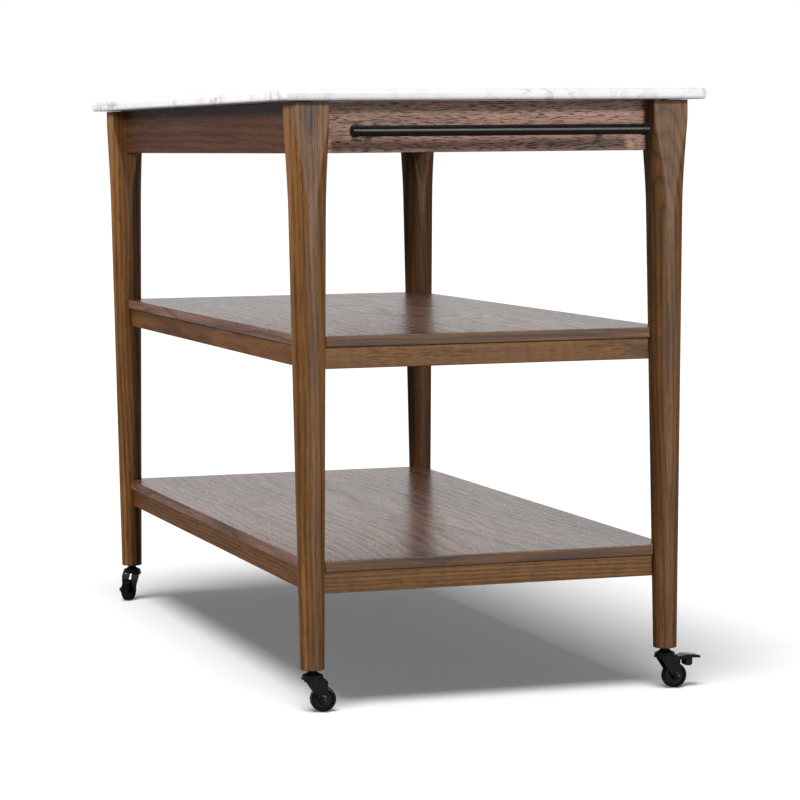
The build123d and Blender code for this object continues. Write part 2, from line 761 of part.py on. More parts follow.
parts["towel_bar_tube"] = make_tube()
parts["towel_bar_front_cap"] = make_cap(-1)
parts["towel_bar_back_cap"] = make_cap(1)
parts["towel_bar_front_post"] = make_post(-1)
parts["towel_bar_back_post"] = make_post(1)
parts["towel_bar_screws"] = make_post_screws()

leg_place = {corner: Pos(sx * leg_x, sy * leg_y, 0) for corner, (sx, sy) in corner_sign.items()}
parts["leg_inserts"] = group([place * make_insert() for place in leg_place.values()])
parts["swivel_balls"] = group([place * ball for place in leg_place.values() for ball in make_balls()])
stem, wheel, axle = make_stem(), make_wheel(), make_axle()
for corner, place in leg_place.items():
    swivel = place * Rot(0, 0, trail_angle[corner])
    parts[corner + "_caster_stem"] = place * stem
    parts[corner + "_caster_fork"] = swivel * make_fork(corner in braked)
    parts[corner + "_caster_wheel"] = swivel * wheel
    parts[corner + "_caster_axle"] = swivel * axle
    if corner in braked:
        parts[corner + "_brake_pedal"] = swivel * make_pedal()

os.makedirs("parts", exist_ok=True)
for name, shape in parts.items():
    export_step(shape, f"parts/{name}.step")
print(len(parts), "nodes")
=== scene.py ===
import math

import bpy
import numpy as np
from mathutils import Matrix, Vector


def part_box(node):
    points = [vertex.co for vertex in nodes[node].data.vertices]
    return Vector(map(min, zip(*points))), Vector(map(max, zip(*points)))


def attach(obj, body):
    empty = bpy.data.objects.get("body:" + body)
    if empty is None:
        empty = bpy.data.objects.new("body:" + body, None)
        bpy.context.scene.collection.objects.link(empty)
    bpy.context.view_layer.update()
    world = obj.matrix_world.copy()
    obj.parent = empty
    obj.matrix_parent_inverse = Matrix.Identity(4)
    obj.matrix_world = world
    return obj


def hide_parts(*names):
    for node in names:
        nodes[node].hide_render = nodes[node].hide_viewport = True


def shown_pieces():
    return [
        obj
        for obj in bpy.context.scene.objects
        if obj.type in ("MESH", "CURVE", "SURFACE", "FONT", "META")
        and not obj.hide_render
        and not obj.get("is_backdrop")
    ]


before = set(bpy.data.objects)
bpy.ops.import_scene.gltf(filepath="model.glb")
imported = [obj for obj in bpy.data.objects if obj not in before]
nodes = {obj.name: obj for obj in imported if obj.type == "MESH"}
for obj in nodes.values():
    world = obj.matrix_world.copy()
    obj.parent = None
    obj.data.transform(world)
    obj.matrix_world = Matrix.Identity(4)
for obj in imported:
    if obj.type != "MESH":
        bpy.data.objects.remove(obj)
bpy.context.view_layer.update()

mm = 0.001
corners = ("front_left", "front_right", "back_right", "back_left")
braked = ("back_right", "back_left")


def middleOf(node):
    low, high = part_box(node)
    return (low + high) / 2


def tint(code, paintedShading=1.0):
    # a six-digit sRGB colour as linear light, times a brightness factor, which for the legs is painted light
    # and shade
    levels = [int(code[i:i + 2], 16) / 255 for i in (0, 2, 4)]
    linear = [v / 12.92 if v <= 0.04045 else ((v + 0.055) / 1.055) ** 2.4 for v in levels]
    return (*[v * paintedShading for v in linear], 1.0)


# Shader maths: a Wire is one socket, and plain arithmetic on it adds Math nodes
class Wire:
    def __init__(self, tree, socket=None):
        self.tree = tree
        self.socket = socket

    def node(self, kind, settings=None, sockets=None, out=0):
        made = self.tree.nodes.new("ShaderNode" + kind)
        for name, value in (settings or {}).items():
            if name == "stops":
                for k, (place, colour) in enumerate(value):
                    stop = made.color_ramp.elements[k] if k < 2 else made.color_ramp.elements.new(place)
                    stop.position = place
                    stop.color = colour
            else:
                setattr(made, name, value)
        for name, value in (sockets or {}).items():
            if isinstance(value, Wire):
                self.tree.links.new(value.socket, made.inputs[name])
            else:
                made.inputs[name].default_value = value
        return Wire(self.tree, made.outputs[out])

    def maths(self, operation, a, b=0.0, clamp=False):
        return self.node("Math", {"operation": operation, "use_clamp": clamp}, {0: a, 1: b})

    def __add__(self, other):
        return self.maths("ADD", self, other)

    def __sub__(self, other):
        return self.maths("SUBTRACT", self, other)

    def __rsub__(self, other):
        return self.maths("SUBTRACT", other, self)

    def __mul__(self, other):
        return self.maths("MULTIPLY", self, other)

    def __truediv__(self, other):
        return self.maths("DIVIDE", self, other)

    def __pow__(self, other):
        return self.maths("POWER", self, other)

    __radd__ = __add__
    __rmul__ = __mul__

    def clamped(self):
        return self.maths("ADD", self, 0.0, clamp=True)

    def step(self, low, high):
        # 0 below low, 1 above high and a smooth rise between them
        return self.node("MapRange", {"interpolation_type": "SMOOTHSTEP"}, {0: self, 1: low, 2: high})

    def mix(self, factor, a, b):
        return self.node("Mix", {"data_type": "RGBA"}, {0: factor, 6: a, 7: b}, out=2)

    def mixVector(self, factor, a, b):
        return self.node("Mix", {"data_type": "VECTOR"}, {0: factor, 4: a, 5: b}, out=1)

    def noise(self, vector, detail=2.0, rough=0.5, out=0):
        sockets = {"Vector": vector, "Scale": 1.0, "Detail": detail, "Roughness": rough}
        return self.node("TexNoise", {}, sockets, out=out)

    def scaled(self, vector, scale, shift=(0, 0, 0)):
        return self.node("Mapping", {}, {"Vector": vector, "Location": shift, "Scale": scale})

    def parts(self, vector):
        first = self.node("SeparateXYZ", {}, {0: vector})
        return [Wire(self.tree, s) for s in first.socket.node.outputs]

    def joined(self, x, y, z):
        return self.node("CombineXYZ", {}, {0: x, 1: y, 2: z})

    def place(self):
        return self.node("TexCoord", out=3)


def newMaterial(name, **constants):
    # a Principled material with its constants set on the shader's own sockets
    material = bpy.data.materials.new(name)
    material.use_nodes = True
    shader = material.node_tree.nodes["Principled BSDF"]
    for key, value in constants.items():
        shader.inputs[key.replace("_", " ")].default_value = value
    return material, shader, Wire(material.node_tree)


def feed(shader, **links):
    # links of wires to the shader's sockets
    for key, wire in links.items():
        wire.tree.links.new(wire.socket, shader.inputs[key.replace("_", " ")])


# Wood: growth rings are cylinders about a pith line beside the piece, bent by slow noise. Each ring starts
# with a band of dark open pores and darkens again towards its end; fibres and pores are noise drawn out
# along the grain. u and v run across the grain and w along it, in metres.
woodLook = {
    "pale": "80582f", "mid": "5f3f20", "dark": "392311", "poreTint": "24160e", "paintedShading": 1.0,
    "centre": (0, 0, 0), "pith": (0.05, 0.02), "tilt": (0.0, 0.0), "swerve": (0.0, 0.0), "seed": 0.0,
    "ringWidth": 6.0 * mm, "wobble": 14 * mm, "ripple": 0.5,
    "ringShare": 0.34, "fibreShare": 0.5, "mottleShare": 0.55, "streakShare": 0.35,
    "finePores": 0.4, "ringPores": 0.5, "poreCount": 620.0, "poreLength": 46.0,
    "poreLevel": 0.56, "poreEdge": 0.14, "poreBands": 0.22,
    "figureShare": 0.0, "lineShare": 0.0, "lineStart": 0.7,
    "arrisWearAndHighlightTint": "a3846a", "arrisWearAndHighlightShare": 0.0,
    "bandedEnds": False, "endPale": "734922", "endMid": "543214", "endDark": "341c09",
    "endRoughness": 0.0, "easedShare": 0.0,
    "roughness": 0.44, "ior": 1.43, "poreBump": 0.3, "poreDepth": 0.3 * mm,
}
# waves a metre of each noise, twice across the grain and once along it
woodWaves = {
    "bend": (7, 7, 1.8), "ripple": (60, 60, 9), "mottle": (22, 22, 2.4), "streak": (130, 130, 3.5),
    "fibre": (700, 700, 11), "finePore": (1250, 1250, 62), "figure": (30, 30, 90),
}


def woodRamp(w, tone, pale, mid, dark):
    stops = [(0.18, pale), (0.86, dark), (0.5, mid)]
    return w.node("ValToRGB", {"stops": stops}, {0: tone.clamped()})


def stained(w, colour, spot, fibre):
    # a local stain: an ellipsoid about a point, broken up by the fibres
    reach = [(a - c) / r for a, c, r in zip(w.parts(w.place()), spot["at"], spot["size"])]
    far = reach[0] * reach[0] + reach[1] * reach[1] + reach[2] * reach[2]
    mask = (1 - far.step(0.1, 1.2)) * fibre.step(0.2, 0.65) * spot["share"]
    return w.mix(mask, colour, tint(spot["tint"]))


def makeWood(name, grain, spots=(), **changes):
    look = {**woodLook, **changes}
    seed = look["seed"]
    material, shader, w = newMaterial(name, IOR=look["ior"])
    x, y, z = w.parts(w.scaled(w.place(), (1, 1, 1), tuple(-c for c in look["centre"])))
    space = w.joined(*{"X": (y, z, x), "Y": (x, z, y), "Z": (x, y, z)}[grain])
    if look["bandedEnds"]:
        # the end faces carry a band whose grain runs across the piece
        normal = w.parts(w.node("TexCoord", out=1))
        facing = w.maths("ABSOLUTE", normal[0])
        onEnd = facing.step(0.6, 0.8)
        space = w.mixVector(onEnd, space, w.joined(x, z * 2.0 + 0.3, y))
    across = w.parts(space)
    bend = w.parts(w.noise(w.scaled(space, woodWaves["bend"], (seed, seed, seed)), 2.0, out=1))
    u = across[0] + (bend[0] - 0.5) * look["wobble"] + across[2] * look["tilt"][0] - look["pith"][0]
    if look["swerve"][1]:
        # the pith leans away above a height, which draws arches
        u = u + w.maths("MAXIMUM", across[2] - look["swerve"][0], 0.0) * look["swerve"][1]
    v = across[1] + (bend[1] - 0.5) * look["wobble"] + across[2] * look["tilt"][1] - look["pith"][1]
    ripple = w.noise(w.scaled(space, woodWaves["ripple"], (4, seed, 2)), 1.0)
    phase = (u * u + v * v) ** 0.5 / look["ringWidth"] + bend[2] * 3.0 + ripple * look["ripple"]
    saw = w.maths("FRACT", phase)
    early = 1 - saw.step(0.1, 0.45)
    late = saw.step(0.5, 0.97) * (1 - saw.step(0.97, 1.0))
    fibre = w.noise(w.scaled(space, woodWaves["fibre"], (seed, 2, 3)), 3.0, 0.65)
    mottle = w.noise(w.scaled(space, woodWaves["mottle"], (3, 5, seed)), 2.0)
    streak = w.noise(w.scaled(space, woodWaves["streak"], (seed, 1, 5)), 2.0, 0.55)
    finePore = w.noise(w.scaled(space, woodWaves["finePore"], (seed, 4, 1)), 1.0).step(0.5, 0.75)
    ringWaves = (look["poreCount"], look["poreCount"], look["poreLength"])
    ringPore = w.noise(w.scaled(space, ringWaves, (1, seed, 3)), 1.0)
    ringPore = ringPore + (early - 0.4) * look["poreBands"] + (mottle - 0.5) * 0.15
    ringPore = ringPore.step(look["poreLevel"], look["poreLevel"] + look["poreEdge"])
    pore = w.maths("MAXIMUM", finePore * look["finePores"], ringPore * look["ringPores"])
    tone = 0.5 + (late - 0.3) * look["ringShare"] + (fibre - 0.5) * look["fibreShare"]
    tone = tone + (mottle - 0.5) * look["mottleShare"] + (streak - 0.5) * look["streakShare"]
    if look["figureShare"]:
        figure = w.noise(w.scaled(space, woodWaves["figure"], (2, 7, 5)), 3.0)
        tone = tone + (figure - 0.5) * look["figureShare"]
    # the colours are scaled by the leg's brightness factor, which is painted light and shade
    colour = woodRamp(w, tone, *(tint(look[key], look["paintedShading"]) for key in ("pale", "mid", "dark")))
    roughness = look["roughness"]
    if look["bandedEnds"]:
        ends = woodRamp(w, tone, *(tint(look[key]) for key in ("endPale", "endMid", "endDark")))
        colour = w.mix(onEnd, colour, ends)
        roughness = roughness + onEnd * look["endRoughness"]
    if look["lineShare"]:
        # a thin dark line closes each ring
        line = saw.step(look["lineStart"], 0.96) * (1 - saw.step(0.96, 1.0)) * streak.step(0.3, 0.55)
        colour = w.mix(line * look["lineShare"], colour, tint(look["poreTint"]))
    if look["easedShare"]:
        # painted highlight along the rounded upper edges of the banded ends
        easedHighlight = normal[2] * facing
        colour = w.mix(easedHighlight.step(0.12, 0.4) * look["easedShare"], colour, tint(look["arrisWearAndHighlightTint"]))
    if look["arrisWearAndHighlightShare"]:
        # rubbed wear and painted highlight along the arrises, which the mesh marks
        arris = w.node("Attribute", {"attribute_name": "arris"}, out=2)
        colour = w.mix(arris * look["arrisWearAndHighlightShare"] * fibre.step(0.2, 0.6), colour, tint(look["arrisWearAndHighlightTint"]))
    for spot in spots:
        colour = stained(w, colour, spot, fibre)
    colour = w.mix(pore, colour, tint(look["poreTint"]))
    height = 1 - pore - fibre * 0.25
    bump = w.node("Bump", {}, {"Strength": look["poreBump"], "Distance": look["poreDepth"], "Height": height})
    feed(shader, Base_Color=colour, Roughness=roughness + pore * 0.2 + (fibre - 0.5) * 0.1, Normal=bump)
    return material


# Stone: cloudy white with soft grey veins that follow a bent ridge of noise
stoneLook = {
    "white": "dad9d9", "cloud": "b3b4b6", "cloudShare": 0.55, "vein": "909397", "veinShare": 0.9,
    "veinWidth": 0.045, "speck": "b8b9bb", "speckShare": 0.18, "bend": 0.22, "roughness": 0.26, "ior": 1.48,
}


def makeStone(name):
    look = stoneLook
    material, shader, w = newMaterial(name, IOR=look["ior"])
    place = w.place()
    bend = w.noise(w.scaled(place, (5, 5, 9)), 4.0, out=1)
    bent = w.node("VectorMath", {"operation": "MULTIPLY_ADD"}, {0: bend, 1: (look["bend"],) * 3, 2: place})
    ridge = w.noise(w.scaled(bent, (7, 12, 10)), 5.0, 0.62)
    vein = 1 - w.maths("ABSOLUTE", ridge - 0.5).step(0.0, look["veinWidth"])
    gate = w.noise(w.scaled(place, (6, 6, 6), (4, 1, 2)), 2.0).step(0.42, 0.66)
    cloud = w.noise(w.scaled(bent, (26, 26, 26)), 4.0, 0.6).step(0.46, 0.78)
    fine = w.noise(w.scaled(place, (160, 160, 160)), 3.0, 0.7)
    colour = w.mix(cloud * look["cloudShare"], tint(look["white"]), tint(look["cloud"]))
    colour = w.mix(vein * gate * look["veinShare"], colour, tint(look["vein"]))
    colour = w.mix(fine.step(0.55, 0.8) * look["speckShare"], colour, tint(look["speck"]))
    feed(shader, Base_Color=colour, Roughness=look["roughness"] + fine * 0.14)
    return material


# Metals, plastic and rubber: an even colour with fine grain in the gloss, and rubbed tone
def makeCoated(name, code, rubbed, roughness, metallic=0.0, grain=900.0, bumpShare=0.08, **constants):
    material, shader, w = newMaterial(name, Metallic=metallic, **constants)
    place = w.place()
    grainy = w.noise(w.scaled(place, (grain, grain, grain)), 2.0, 0.6)
    worn = w.noise(w.scaled(place, (60, 60, 60)), 3.0, 0.6)
    colour = w.mix(worn.step(0.4, 0.75) * 0.7, tint(code), tint(rubbed))
    bump = w.node("Bump", {}, {"Strength": bumpShare, "Distance": 0.1 * mm, "Height": grainy})
    feed(shader, Base_Color=colour, Roughness=roughness - 0.06 + worn * 0.12, Normal=bump)
    return material


# The four legs: one grain for all, and each with its own pith line and gloss, and a brightness factor that
# paints light on the brighter legs and shade on the dark back-left leg
legGrain = {"arrisWearAndHighlightShare": 0.2, "lineShare": 0.5, "lineStart": 0.82, "ringShare": 0.2, "wobble": 9 * mm,
            "ringWidth": 8 * mm, "ringPores": 0.4, "finePores": 0.3, "fibreShare": 0.8, "streakShare": 0.5}
legWoods = {
    "front_left": {"pith": (0.034, 0.05), "tilt": (0.03, 0.01), "paintedShading": 1.35, "roughness": 0.46, "ior": 1.4},
    "front_right": {"pith": (0.0, -0.085), "tilt": (0.006, 0.012), "paintedShading": 1.12, "roughness": 0.46,
                    "ior": 1.4},
    "back_right": {"pith": (0.0255, -0.004), "tilt": (0.01, 0.012), "swerve": (0.22, 0.2), "paintedShading": 1.0,
                   "roughness": 0.52, "ior": 1.4},
    "back_left": {"pith": (0.06, -0.02), "tilt": (-0.04, 0.02), "paintedShading": 0.5, "roughness": 0.6, "ior": 1.25},
}
# dark marks on the outer face of the leg beside the towel bar, as drops below the leg's head
legLow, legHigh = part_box("front_right_leg")
markX = legHigh.x
markY = (legLow.y + legHigh.y) / 2
legMarks = (
    {"at": (markX, markY - 3.3 * mm, legHigh.z - 22 * mm), "size": (0.012, 0.011, 0.042), "share": 1.0,
     "tint": "2f241d"},
    {"at": (markX, markY - 0.5 * mm, legHigh.z - 29 * mm), "size": (0.012, 0.0032, 0.026), "share": 1.0,
     "tint": "17100c"},
    {"at": (markX, markY - 1.0 * mm, legHigh.z - 59 * mm), "size": (0.004, 0.0028, 0.003), "share": 1.0,
     "tint": "2e1a10"},
)
woods = {
    # the long aprons' darker colours are painted shade under the slab's overhang
    "longApron": {"name": "wood_long_apron_painted_shade", "grain": "X", "pale": "51301d", "mid": "422516",
                  "dark": "2a160a", "centre": (0, -0.28, 0.86), "pith": (0.12, 0.05), "seed": 2.0},
    # the end aprons' pale pinkish colours are painted sheen of the front lamps on the satin finish
    "endApron": {"name": "wood_end_apron_painted_sheen", "grain": "Y", "pale": "ae8670", "mid": "8f6955", "dark": "624335",
                 "centre": (0.6, 0, 0.86), "pith": (0.1, 0.03), "poreLevel": 0.52, "poreEdge": 0.07,
                 "poreBands": 0.05, "ringPores": 0.85, "poreCount": 800.0, "poreLength": 66.0,
                 "mottleShare": 0.3, "ringShare": 0.15, "streakShare": 0.2, "wobble": 10 * mm,
                 "ringWidth": 9 * mm, "seed": 3.0},
    "shelf": {"name": "wood_shelf", "grain": "X", "pale": "7c5744", "mid": "5c3c2e", "dark": "38221a",
              "centre": (0, 0, 0.5), "pith": (0.03, -0.16), "wobble": 60 * mm, "ringWidth": 15 * mm,
              "tilt": (0.0, 0.03), "roughness": 0.25, "endRoughness": 0.3, "ior": 1.5, "bandedEnds": True,
              "easedShare": 0.4, "lineShare": 0.22, "ringPores": 0.4, "finePores": 0.6, "fibreShare": 0.75,
              "mottleShare": 0.7, "streakShare": 0.6, "poreBump": 0.06, "ripple": 0.12, "poreLength": 14.0,
              "seed": 4.0},
    "longRail": {"name": "wood_long_rail", "grain": "X", "pale": "704a22", "mid": "553216", "dark": "351d0a",
                 "centre": (0, -0.28, 0.5), "pith": (0.1, 0.02), "seed": 5.0},
    "endRail": {"name": "wood_end_rail", "grain": "Y", "pale": "82592b", "mid": "66431d", "dark": "43270e",
                "ior": 1.32, "centre": (0.6, 0, 0.5), "pith": (0.1, 0.03), "figureShare": 0.35, "seed": 6.0},
    "inner": {"name": "wood_inner", "grain": "Y", "pale": "c9a981", "mid": "a98860", "dark": "80613f",
              "roughness": 0.6, "poreBump": 0.5},
}
coats = {
    "bar": {"name": "bar_metal", "code": "100c0a", "rubbed": "16110e", "roughness": 0.25, "bumpShare": 0.02,
            "IOR": 1.36},
    "casterMetal": {"name": "caster_metal", "code": "060607", "rubbed": "0b0b0c", "roughness": 0.22,
                    "bumpShare": 0.03},
    "casterPlastic": {"name": "caster_plastic", "code": "060607", "rubbed": "0b0b0d", "roughness": 0.28,
                      "bumpShare": 0.04, "IOR": 1.42},
    "axle": {"name": "axle_steel", "code": "131315", "rubbed": "1c1c1e", "roughness": 0.22},
    "zinc": {"name": "zinc_steel", "code": "b9bcc0", "rubbed": "9da1a6", "roughness": 0.36, "metallic": 1.0,
             "grain": 400.0},
    "ball": {"name": "ball_steel", "code": "d0d2d5", "rubbed": "bfc2c6", "roughness": 0.14, "metallic": 1.0},
    "pad": {"name": "pad", "code": "3a3a3b", "rubbed": "454546", "roughness": 0.75},
}

materials = {"stone": makeStone("stone")}
for corner in corners:
    at = middleOf(corner + "_leg")
    marks = legMarks if corner == "front_right" else ()
    materials["wood_" + corner] = makeWood("wood_" + corner, "Z", marks, centre=(at.x, at.y, 0.5),
                                           **legGrain, **legWoods[corner])
for key, look in woods.items():
    materials[key] = makeWood(**look)
for key, look in coats.items():
    materials[key] = makeCoated(**look)
print("materials made")


def dress(node, key):
    # the node's own material slots take the named material
    for place in nodes[node].material_slots:
        place.material = materials[key]


dress("stone_top", "stone")
dress("stone_pads", "pad")
for corner in corners:
    dress(corner + "_leg", "wood_" + corner)
    dress(corner + "_corner_block", "inner")
    dress(corner + "_caster_stem", "casterMetal")
    dress(corner + "_caster_fork", "casterMetal")
    dress(corner + "_caster_wheel", "casterPlastic")
    dress(corner + "_caster_axle", "axle")
for corner in braked:
    dress(corner + "_brake_pedal", "casterPlastic")
for side in ("front", "back"):
    dress(side + "_apron", "longApron")
for side in ("left", "right"):
    dress(side + "_apron", "endApron")
    dress(side + "_cross_rail", "inner")
for level in ("middle", "lower"):
    dress(level + "_shelf_board", "shelf")
    for side in ("front", "back"):
        dress(f"{level}_{side}_rail", "longRail")
    for side in ("left", "right"):
        dress(f"{level}_{side}_rail", "endRail")
        dress(f"{level}_{side}_batten", "inner")
for node in ("hanger_bolts", "hanger_washers", "hanger_nuts", "wood_screws", "towel_bar_screws",
             "leg_inserts"):
    dress(node, "zinc")
dress("swivel_balls", "ball")
for node in ("towel_bar_tube", "towel_bar_front_cap", "towel_bar_back_cap",
             "towel_bar_front_post", "towel_bar_back_post"):
    dress(node, "bar")
print("frame dressed")


def addMesh(name, points, faces, flatLast, material, body, node):
    # a smooth piece whose last few faces stay flat, riding on a body in place of a node
    mesh = bpy.data.meshes.new(name)
    mesh.from_pydata(points.tolist(), [], faces)
    smooth = np.ones(len(faces), dtype=bool)
    smooth[len(faces) - flatLast:] = False
    mesh.polygons.foreach_set("use_smooth", smooth)
    mesh.materials.append(materials[material])
    piece = bpy.data.objects.new(name, mesh)
    bpy.context.scene.collection.objects.link(piece)
    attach(piece, body)
    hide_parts(node)
    return piece


def tubeFaces(rings, around):
    # quads between neighbouring rings of points, each ring closed on itself, counted round and then up
    i, j = np.meshgrid(np.arange(rings - 1), np.arange(around), indexing="ij")
    k = (j + 1) % around
    low, high = i * around, (i + 1) * around
    return np.stack([low + j, low + k, high + k, high + j], -1).reshape(-1, 4)


# Turned leg: r is the smaller of a round section and a square one, blended over a narrow arris. The round
# radius rc(z) tapers evenly from foot to knee and follows an arc of the flare radius above it.
legLook = {"footRadius": 18.0 * mm, "kneeRadius": 27.65 * mm, "kneeDrop": 157.0 * mm,
           "flareRadius": 940.0 * mm, "footEase": 1.5 * mm, "easeSteps": 7, "squareness": 43.0,
           "arrisPower": 80.0, "arrisWidth": 0.75 * mm, "cornerWidth": 1.2 * mm,
           "around": 240, "ringsBelow": 60, "ringsAbove": 150, "aboveFrom": 190.0 * mm}


def makeLeg(corner):
    look = legLook
    low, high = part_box(corner + "_leg")
    middle, half = (low + high) / 2, (high.x - low.x) / 2
    kneeZ = high.z - look["kneeDrop"]
    slope = math.atan((look["kneeRadius"] - look["footRadius"]) / (kneeZ - low.z))
    arcR = look["kneeRadius"] + look["flareRadius"] * math.cos(slope)
    arcZ = kneeZ - look["flareRadius"] * math.sin(slope)
    ease = look["footEase"]
    turn = np.linspace(0, math.pi / 2, look["easeSteps"])
    bottom = np.concatenate([[0.0], ease * (1 - np.cos(turn))])
    inset = np.concatenate([[ease * 3], ease * (1 - np.sin(turn))])
    split = high.z - look["aboveFrom"]
    z = np.concatenate([low.z + bottom, np.linspace(low.z + 4 * ease, split, look["ringsBelow"]),
                        np.linspace(split, high.z, look["ringsAbove"])[1:]])
    inset = np.concatenate([inset, np.zeros(len(z) - len(inset))])
    taperR = look["footRadius"] + math.tan(slope) * (z - low.z)
    over = np.maximum(z - arcZ, 0)
    flareR = arcR - np.sqrt(np.maximum(look["flareRadius"] ** 2 - over ** 2, 0))
    rc = (np.where(z < kneeZ, taperR, flareR) - inset)[:, None]
    count = look["around"]
    angle = np.arange(count) / count * 2 * math.pi
    n = look["squareness"]
    rs = half / (np.abs(np.cos(angle)) ** n + np.abs(np.sin(angle)) ** n) ** (1 / n)
    p = look["arrisPower"]
    r = half * ((rc / half) ** -p + (rs[None, :] / half) ** -p) ** (-1 / p)
    points = np.stack([middle.x + r * np.cos(angle), middle.y + r * np.sin(angle),
                       np.broadcast_to(z[:, None], r.shape)], -1).reshape(-1, 3)
    faces = tubeFaces(len(z), count).tolist()
    last = len(points)
    points = np.concatenate([points, [[middle.x, middle.y, low.z], [middle.x, middle.y, high.z]]])
    top = (len(z) - 1) * count
    faces += [[last, (j + 1) % count, j] for j in range(count)]
    faces += [[last + 1, top + j, top + (j + 1) % count] for j in range(count)]
    leg = addMesh(corner + "_turned_leg", points, faces, 2 * count, "wood_" + corner, "island",
                  corner + "_leg")
    # the mark for wear and painted highlight fades away from the seam of round and square, and from the
    # corners of the square head
    seam = np.exp(-((rc - rs[None, :]) / look["arrisWidth"]) ** 2)
    quarter = np.abs((angle % (math.pi / 2)) - math.pi / 4)
    square = np.exp(-((quarter[None, :] * r) / look["cornerWidth"]) ** 2) * (rc > rs[None, :])
    arris = np.concatenate([np.maximum(seam, square).reshape(-1), [0.0, 0.0]])
    mark = leg.data.attributes.new("arris", "FLOAT", "POINT")
    mark.data.foreach_set("value", arris.astype(np.float32))


# Stone slab: a rounded rectangle carried up a profile whose two edges are quarter circles. One more ring at
# each end of the profile lies in the flat face, set in by the face inset.
slabLook = {"corner": 12.0 * mm, "edge": 5.0 * mm, "faceInset": 15.0 * mm, "cornerSteps": 14, "edgeSteps": 8}


def makeSlab():
    look = slabLook
    low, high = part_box("stone_top")
    hx, hy = (high.x - low.x) / 2, (high.y - low.y) / 2
    middle = (low + high) / 2
    turn = np.linspace(0, math.pi / 2, look["edgeSteps"] + 1)
    edge = look["edge"]
    face = look["faceInset"]
    inset = np.concatenate([[face], edge * (1 - np.sin(turn)), edge * (1 - np.cos(turn)), [face]])
    lower = low.z + edge * (1 - np.cos(turn))
    upper = high.z - edge * (1 - np.sin(turn))
    z = np.concatenate([[low.z], lower, upper, [high.z]])
    arc = np.linspace(0, math.pi / 2, look["cornerSteps"] + 1)
    outline = []
    for k, (sx, sy) in enumerate(((1, 1), (-1, 1), (-1, -1), (1, -1))):
        a = arc + k * math.pi / 2
        outline.append(np.stack([np.full(len(a), sx * (hx - look["corner"])),
                                 np.full(len(a), sy * (hy - look["corner"])), np.cos(a), np.sin(a)], -1))
    outline = np.concatenate(outline)
    reach = look["corner"] - inset[:, None]
    xy = outline[None, :, :2] + outline[None, :, 2:] * reach[:, :, None]
    count = len(outline)
    points = np.concatenate([xy, np.broadcast_to(z[:, None, None], (len(z), count, 1))], -1).reshape(-1, 3)
    points = points + np.array([middle.x, middle.y, 0.0])
    faces = tubeFaces(len(z), count).tolist()
    faces += [list(range(count))[::-1], [(len(z) - 1) * count + j for j in range(count)]]
    addMesh("polished_slab", points, faces, 2, "stone", "island", "stone_top")


for corner in corners:
    makeLeg(corner)
makeSlab()
print("legs and slab made")

# The room: a white floor that keeps the shadow and a white backdrop behind the island; the side that the
# lamps stand on is dimmer in reflections. The floor throws little light back up onto the wood.
room = {"floorHalf": 40.0, "floorColour": (0.8, 0.8, 0.8, 1), "bounceColour": (0.2, 0.2, 0.2, 1),
        "floorLift": 0.15, "worldLight": 0.1, "backGloss": 0.87, "frontGloss": 0.1, "backAzimuth": 162.0,
        "worldEdge": (0.82, 0.95), "floorEdge": (0.9, 0.97)}


def behind(w, place, edge):
    # 1 towards the backdrop, 0 elsewhere, with a soft edge
    back = math.radians(room["backAzimuth"])
    direction = w.node("VectorMath", {"operation": "NORMALIZE"}, {0: place})
    middle = (math.cos(back), math.sin(back), 0)
    ahead = w.node("VectorMath", {"operation": "DOT_PRODUCT"}, {0: direction, 1: middle}, out=1)
    return ahead.step(*room[edge])


def makeFloor():
    half = room["floorHalf"]
    mesh = bpy.data.meshes.new("floor")
    points = [(-half, -half, 0), (half, -half, 0), (half, half, 0), (-half, half, 0)]
    mesh.from_pydata(points, [], [(0, 1, 2, 3)])
    floor = bpy.data.objects.new("floor", mesh)
    bpy.context.scene.collection.objects.link(floor)
    material = bpy.data.materials.new("floor")
    material.use_nodes = True
    tree = material.node_tree
    tree.nodes.remove(tree.nodes["Principled BSDF"])
    w = Wire(tree)
    outs = w.node("LightPath").socket.node.outputs
    gloss = (Wire(tree, outs["Is Glossy Ray"]) + Wire(tree, outs["Is Transmission Ray"])).clamped()
    ahead = behind(w, w.place(), "floorEdge")
    white = w.node("BsdfDiffuse", {}, {"Color": room["floorColour"]})
    dim = w.node("BsdfDiffuse", {}, {"Color": room["bounceColour"]})
    dimmed = (Wire(tree, outs["Is Diffuse Ray"]) + gloss * (1 - ahead)).clamped()
    matt = w.node("MixShader", {}, {0: dimmed, 1: white, 2: dim})
    seen = (Wire(tree, outs["Is Camera Ray"]) + gloss * ahead).clamped()
    lift = w.node("Emission", {}, {"Color": (1, 1, 1, 1), "Strength": seen * room["floorLift"]})
    both = w.node("AddShader", {}, {0: matt, 1: lift})
    tree.links.new(both.socket, tree.nodes["Material Output"].inputs["Surface"])
    mesh.materials.append(material)
    floor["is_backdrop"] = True
    return floor


def makeWorld():
    world = bpy.data.worlds.new("studio")
    bpy.context.scene.world = world
    world.use_nodes = True
    tree = world.node_tree
    w = Wire(tree)
    outs = w.node("LightPath").socket.node.outputs
    camera = Wire(tree, outs["Is Camera Ray"])
    gloss = (Wire(tree, outs["Is Glossy Ray"]) + Wire(tree, outs["Is Transmission Ray"])).clamped()
    ahead = behind(w, w.node("TexCoord", out=0), "worldEdge")
    glossLevel = room["frontGloss"] + ahead * (room["backGloss"] - room["frontGloss"])
    level = camera + gloss * glossLevel + (1 - (camera + gloss).clamped()) * room["worldLight"]
    tree.links.new(level.socket, tree.nodes["Background"].inputs["Strength"])
    tree.nodes["Background"].inputs["Color"].default_value = (1, 1, 1, 1)


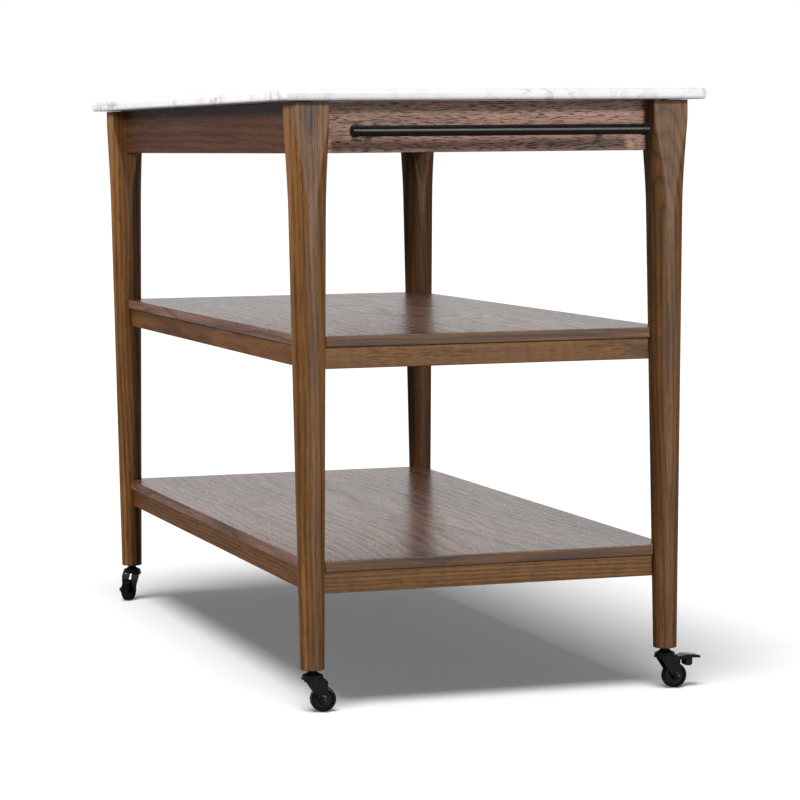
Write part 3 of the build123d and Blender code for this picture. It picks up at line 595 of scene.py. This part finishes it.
# Softboxes stand at a place and face the island; parallel lamps have a direction and a spread. Azimuths run
# from +X towards +Y.
lamps = {
    "key": {"kind": "SUN", "azimuth": 11.0, "elevation": 19.5, "strength": 2.0, "spread": 8.0},
    "glow": {"kind": "AREA", "azimuth": 22.0, "distance": 4.0, "height": 1.25, "size": (1.4, 2.1),
             "watts": 47.0},
    "left": {"kind": "AREA", "azimuth": -82.0, "distance": 4.2, "height": 2.7, "size": (1.4, 1.3),
             "watts": 300.0},
    "rear": {"kind": "AREA", "azimuth": 150.0, "distance": 4.4, "height": 1.1, "size": (1.8, 1.4),
             "watts": 130.0},
    "top": {"kind": "SUN", "azimuth": 180.0, "elevation": 84.0, "strength": 0.8, "spread": 25.0},
    "floorTop": {"kind": "SUN", "azimuth": -35.0, "elevation": 73.0, "strength": 3.7, "spread": 32.0},
}
unmirrored = ("left", "rear", "floorTop")
softboxAim = Vector((0, 0, 0.6))


def makeLamps(floor):
    # the floor has a lamp of its own, so that only a soft shadow under the island lies on it
    floorOnly = bpy.data.collections.new("floorOnly")
    floorOnly.objects.link(floor)
    objectOnly = bpy.data.collections.new("objectOnly")
    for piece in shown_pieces():
        objectOnly.objects.link(piece)
    for name, look in lamps.items():
        data = bpy.data.lights.new(name, look["kind"])
        lamp = bpy.data.objects.new(name, data)
        a = math.radians(look["azimuth"])
        if look["kind"] == "AREA":
            data.shape = "RECTANGLE"
            data.size, data.size_y = look["size"]
            data.energy = look["watts"]
            place = Vector((math.cos(a) * look["distance"], math.sin(a) * look["distance"], look["height"]))
            lamp.location = place
            toLamp = place - softboxAim
        else:
            e = math.radians(look["elevation"])
            data.energy = look["strength"]
            data.angle = math.radians(look["spread"])
            toLamp = Vector((math.cos(a) * math.cos(e), math.sin(a) * math.cos(e), math.sin(e)))
        lamp.rotation_euler = toLamp.to_track_quat("Z", "Y").to_euler()
        bpy.context.scene.collection.objects.link(lamp)
        lamp.light_linking.receiver_collection = floorOnly if name == "floorTop" else objectOnly
        lamp.visible_glossy = name not in unmirrored


camera = {"azimuth": 72.1707, "pitch": 4.86092, "roll": -0.51312, "focal": 3028.4, "frame": 800.0,
          "sensor": 36.0, "right": 48.004 * mm, "up": -51.505 * mm, "height": 457 * mm,
          "distance": 5089.78 * mm, "reach": 200.0}


def makeCamera():
    # azimuth 0 looks along +Y; the target is the island's axis at half height, moved right and up
    az, pitch, roll = (math.radians(camera[k]) for k in ("azimuth", "pitch", "roll"))
    back = Vector((math.sin(az) * math.cos(pitch), -math.cos(az) * math.cos(pitch), math.sin(pitch)))
    level = Vector((math.cos(az), math.sin(az), 0))
    above = back.cross(level)
    right = math.cos(roll) * level + math.sin(roll) * above
    up = math.cos(roll) * above - math.sin(roll) * level
    target = camera["right"] * level + Vector((0, 0, camera["height"] + camera["up"]))
    place = target + camera["distance"] * back
    data = bpy.data.cameras.new("camera")
    data.lens = camera["focal"] / camera["frame"] * camera["sensor"]
    data.sensor_width = camera["sensor"]
    data.sensor_fit = "HORIZONTAL"
    data.clip_end = camera["reach"]
    eye = bpy.data.objects.new("camera", data)
    eye.matrix_world = Matrix.Translation(place) @ Matrix((right, up, back)).transposed().to_4x4()
    bpy.context.scene.collection.objects.link(eye)
    bpy.context.scene.camera = eye


floor = makeFloor()
makeWorld()
makeLamps(floor)
makeCamera()
bpy.context.scene.view_settings.view_transform = "Standard"
print("room lit")
